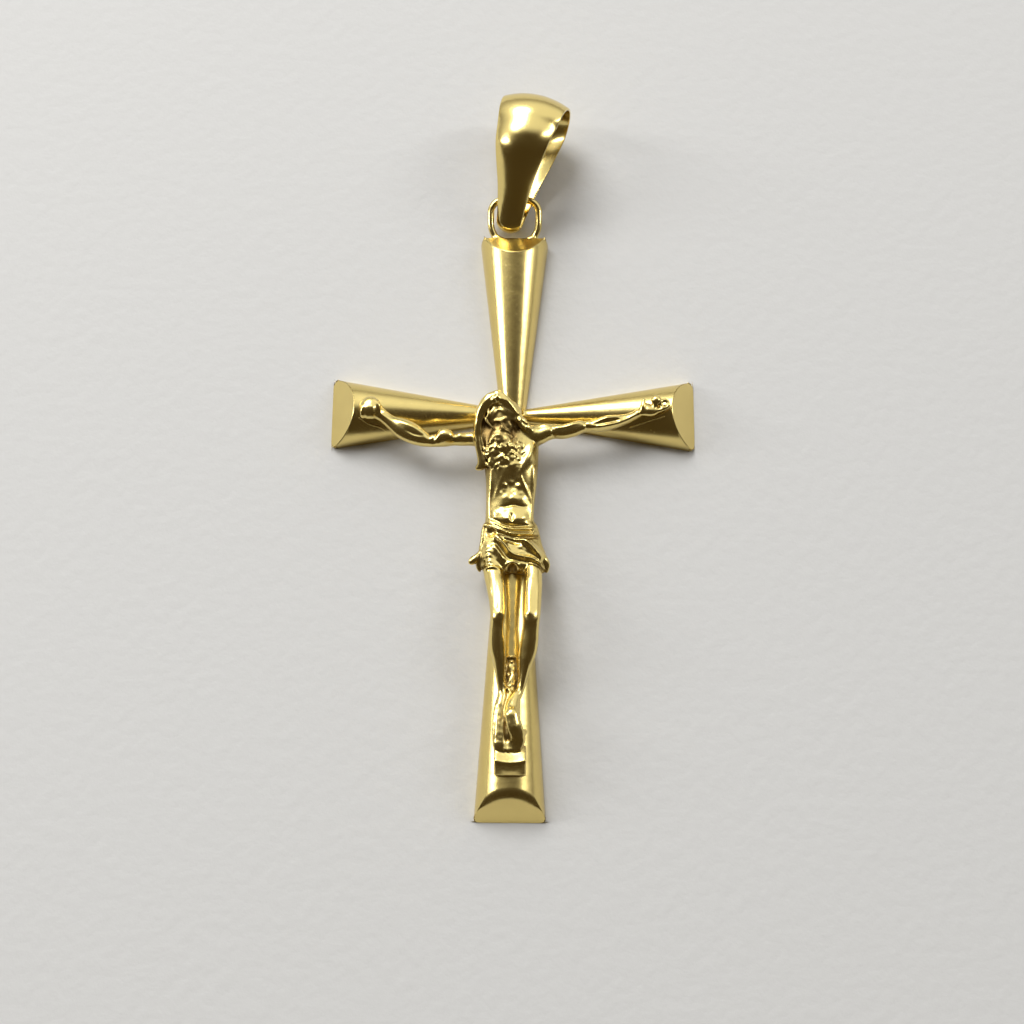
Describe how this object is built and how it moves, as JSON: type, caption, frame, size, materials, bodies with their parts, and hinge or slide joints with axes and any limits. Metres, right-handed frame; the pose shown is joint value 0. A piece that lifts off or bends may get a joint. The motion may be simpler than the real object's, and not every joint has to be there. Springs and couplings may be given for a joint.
{
  "type": "crucifix pendant",
  "caption": "Cross pendant with flared half-round beams, a cast figure in relief and a tapered strap bail that swings on a wire loop.",
  "frame": {"origin": "the crossing of the beams, on the flat back of the cross", "axes": "+Y up the cross towards the bail, +Z out of the front, +X to the viewer's right"},
  "size_m": [0.0198, 0.0394, 0.0043],
  "materials": {
    "cross_gold": "yellow gold, satin on the beams and polished on the cast figure",
    "bail_gold": "yellow gold, mirror polished"
  },
  "bodies": {
    "crucifix": {"crucifix": "cross_gold"},
    "bail": {"bail": "bail_gold"}
  },
  "joints": [
    {"name": "bail_swing", "type": "hinge", "parent": "crucifix", "child": "bail", "pos_m": [0, 0.0123, 0.00103], "axis": [1, 0, 0], "range_deg": [-100, 100]}
  ]
}
